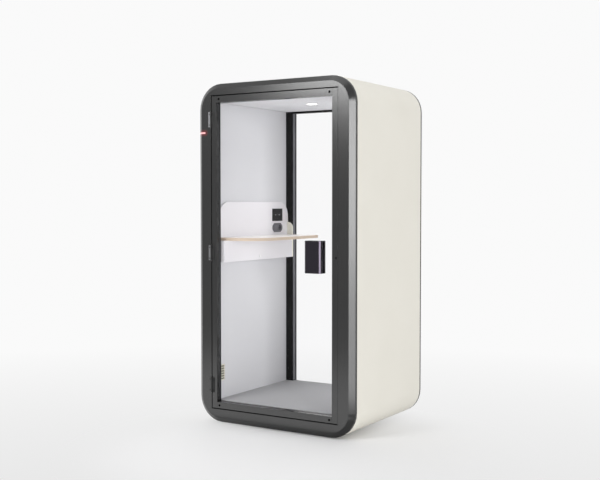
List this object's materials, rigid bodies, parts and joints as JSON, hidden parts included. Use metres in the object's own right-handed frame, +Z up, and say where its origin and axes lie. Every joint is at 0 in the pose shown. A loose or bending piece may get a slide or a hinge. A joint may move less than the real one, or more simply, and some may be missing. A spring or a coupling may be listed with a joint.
{
  "type": "acoustic office pod",
  "caption": "Free-standing acoustic booth with a round-cornered cream shell, dark framed glass door, fixed rear glass and a standing desk with power on one wall.",
  "frame": {"origin": "on the floor under the middle of the body, between the levelling feet", "axes": "+X to the right as seen from the door, +Y from the door to the rear glass, +Z up"},
  "size_m": [1.16, 0.964, 2.204],
  "materials": {
    "frame_coat": "satin dark grey coat",
    "shell_coat": "matt cream coat",
    "core_foam": "acoustic foam",
    "deck_board": "raw board",
    "wall_felt": "pressed pale grey felt",
    "carpet": "grey loop pile",
    "clear_glass": "clear laminated",
    "black_rubber": "matt",
    "hinge_steel": "satin",
    "bare_steel": "zinc plated",
    "handle_coat": "satin near-black coat",
    "red_light": "lit diffuser",
    "desk_board": "white laminate on ply with a bare edge",
    "white_panel": "white laminate",
    "end_panel": "pale olive-cream laminate",
    "black_plastic": "fine texture",
    "grey_plastic": "fine texture",
    "white_trim": "satin",
    "opal_plastic": "opal, lit",
    "vent_paint": "matt cream"
  },
  "bodies": {
    "pod": {"front_frame": "frame_coat", "rear_frame": "frame_coat", "rear_gasket": "black_rubber", "rear_glass": "clear_glass", "rear_bead": "frame_coat", "side_skin_left": "shell_coat", "side_skin_right": "shell_coat", "roof_skin": "shell_coat", "base_pan": "shell_coat", "core_left": "core_foam", "core_right": "core_foam", "core_roof": "core_foam", "core_base": "core_foam", "floor_deck": "deck_board", "carpet": "carpet", "wall_felt_left": "wall_felt", "wall_felt_right": "wall_felt", "ceiling_panel": "wall_felt", "door_seal": "black_rubber", "magnet_catch": "bare_steel", "hinge_frame_leaf_lower": "hinge_steel", "hinge_frame_leaf_middle": "hinge_steel", "hinge_frame_leaf_upper": "hinge_steel", "hinge_pin_lower": "hinge_steel", "hinge_pin_middle": "hinge_steel", "hinge_pin_upper": "hinge_steel", "occupancy_light": "red_light", "desk_top": "desk_board", "upstand_panel": "white_panel", "end_cheek": "end_panel", "cable_box": "white_panel", "desk_bracket_front": "bare_steel", "desk_bracket_rear": "bare_steel", "usb_module": "black_plastic", "power_socket": "grey_plastic", "vent_grille": "vent_paint", "downlight_bezel": "white_trim", "downlight_diffuser": "opal_plastic", "fan_housing": "black_plastic", "power_supply": "bare_steel", "power_inlet": "black_plastic"},
    "door": {"door_stile_hinge": "frame_coat", "door_stile_lock": "frame_coat", "door_rail_top": "frame_coat", "door_rail_bottom": "frame_coat", "strike_plate": "bare_steel", "door_glass": "clear_glass", "door_gasket": "black_rubber", "door_bead": "frame_coat", "handle_outer": "handle_coat", "handle_inner": "handle_coat", "hinge_door_leaf_lower": "hinge_steel", "hinge_door_leaf_middle": "hinge_steel", "hinge_door_leaf_upper": "hinge_steel"},
    "button": {"light_button": "white_trim"},
    "fan": {"fan_rotor": "grey_plastic"},
    "foot_front_left_body": {"foot_front_left": "black_rubber"},
    "foot_rear_left_body": {"foot_rear_left": "black_rubber"},
    "foot_front_right_body": {"foot_front_right": "black_rubber"},
    "foot_rear_right_body": {"foot_rear_right": "black_rubber"}
  },
  "joints": [
    {"name": "door_hinge", "type": "hinge", "parent": "pod", "child": "door", "pos_m": [-0.47, -0.4805, 1.11075], "axis": [0, 0, -1], "range_deg": [0, 110]},
    {"name": "button_press", "type": "slide", "parent": "pod", "child": "button", "axis": [-1, 0, 0], "range_m": [0, 0.0015], "stiffness_N_per_m": 400},
    {"name": "fan_spin", "type": "hinge", "parent": "pod", "child": "fan", "pos_m": [0.3, 0.2747, 2.1053], "axis": [0, 0, 1], "continuous": true},
    {"name": "foot_front_left_screw", "type": "slide", "parent": "pod", "child": "foot_front_left_body", "axis": [0, 0, -1], "range_m": [0, 0.015]},
    {"name": "foot_rear_left_screw", "type": "slide", "parent": "pod", "child": "foot_rear_left_body", "axis": [0, 0, -1], "range_m": [0, 0.015]},
    {"name": "foot_front_right_screw", "type": "slide", "parent": "pod", "child": "foot_front_right_body", "axis": [0, 0, -1], "range_m": [0, 0.015]},
    {"name": "foot_rear_right_screw", "type": "slide", "parent": "pod", "child": "foot_rear_right_body", "axis": [0, 0, -1], "range_m": [0, 0.015]}
  ]
}
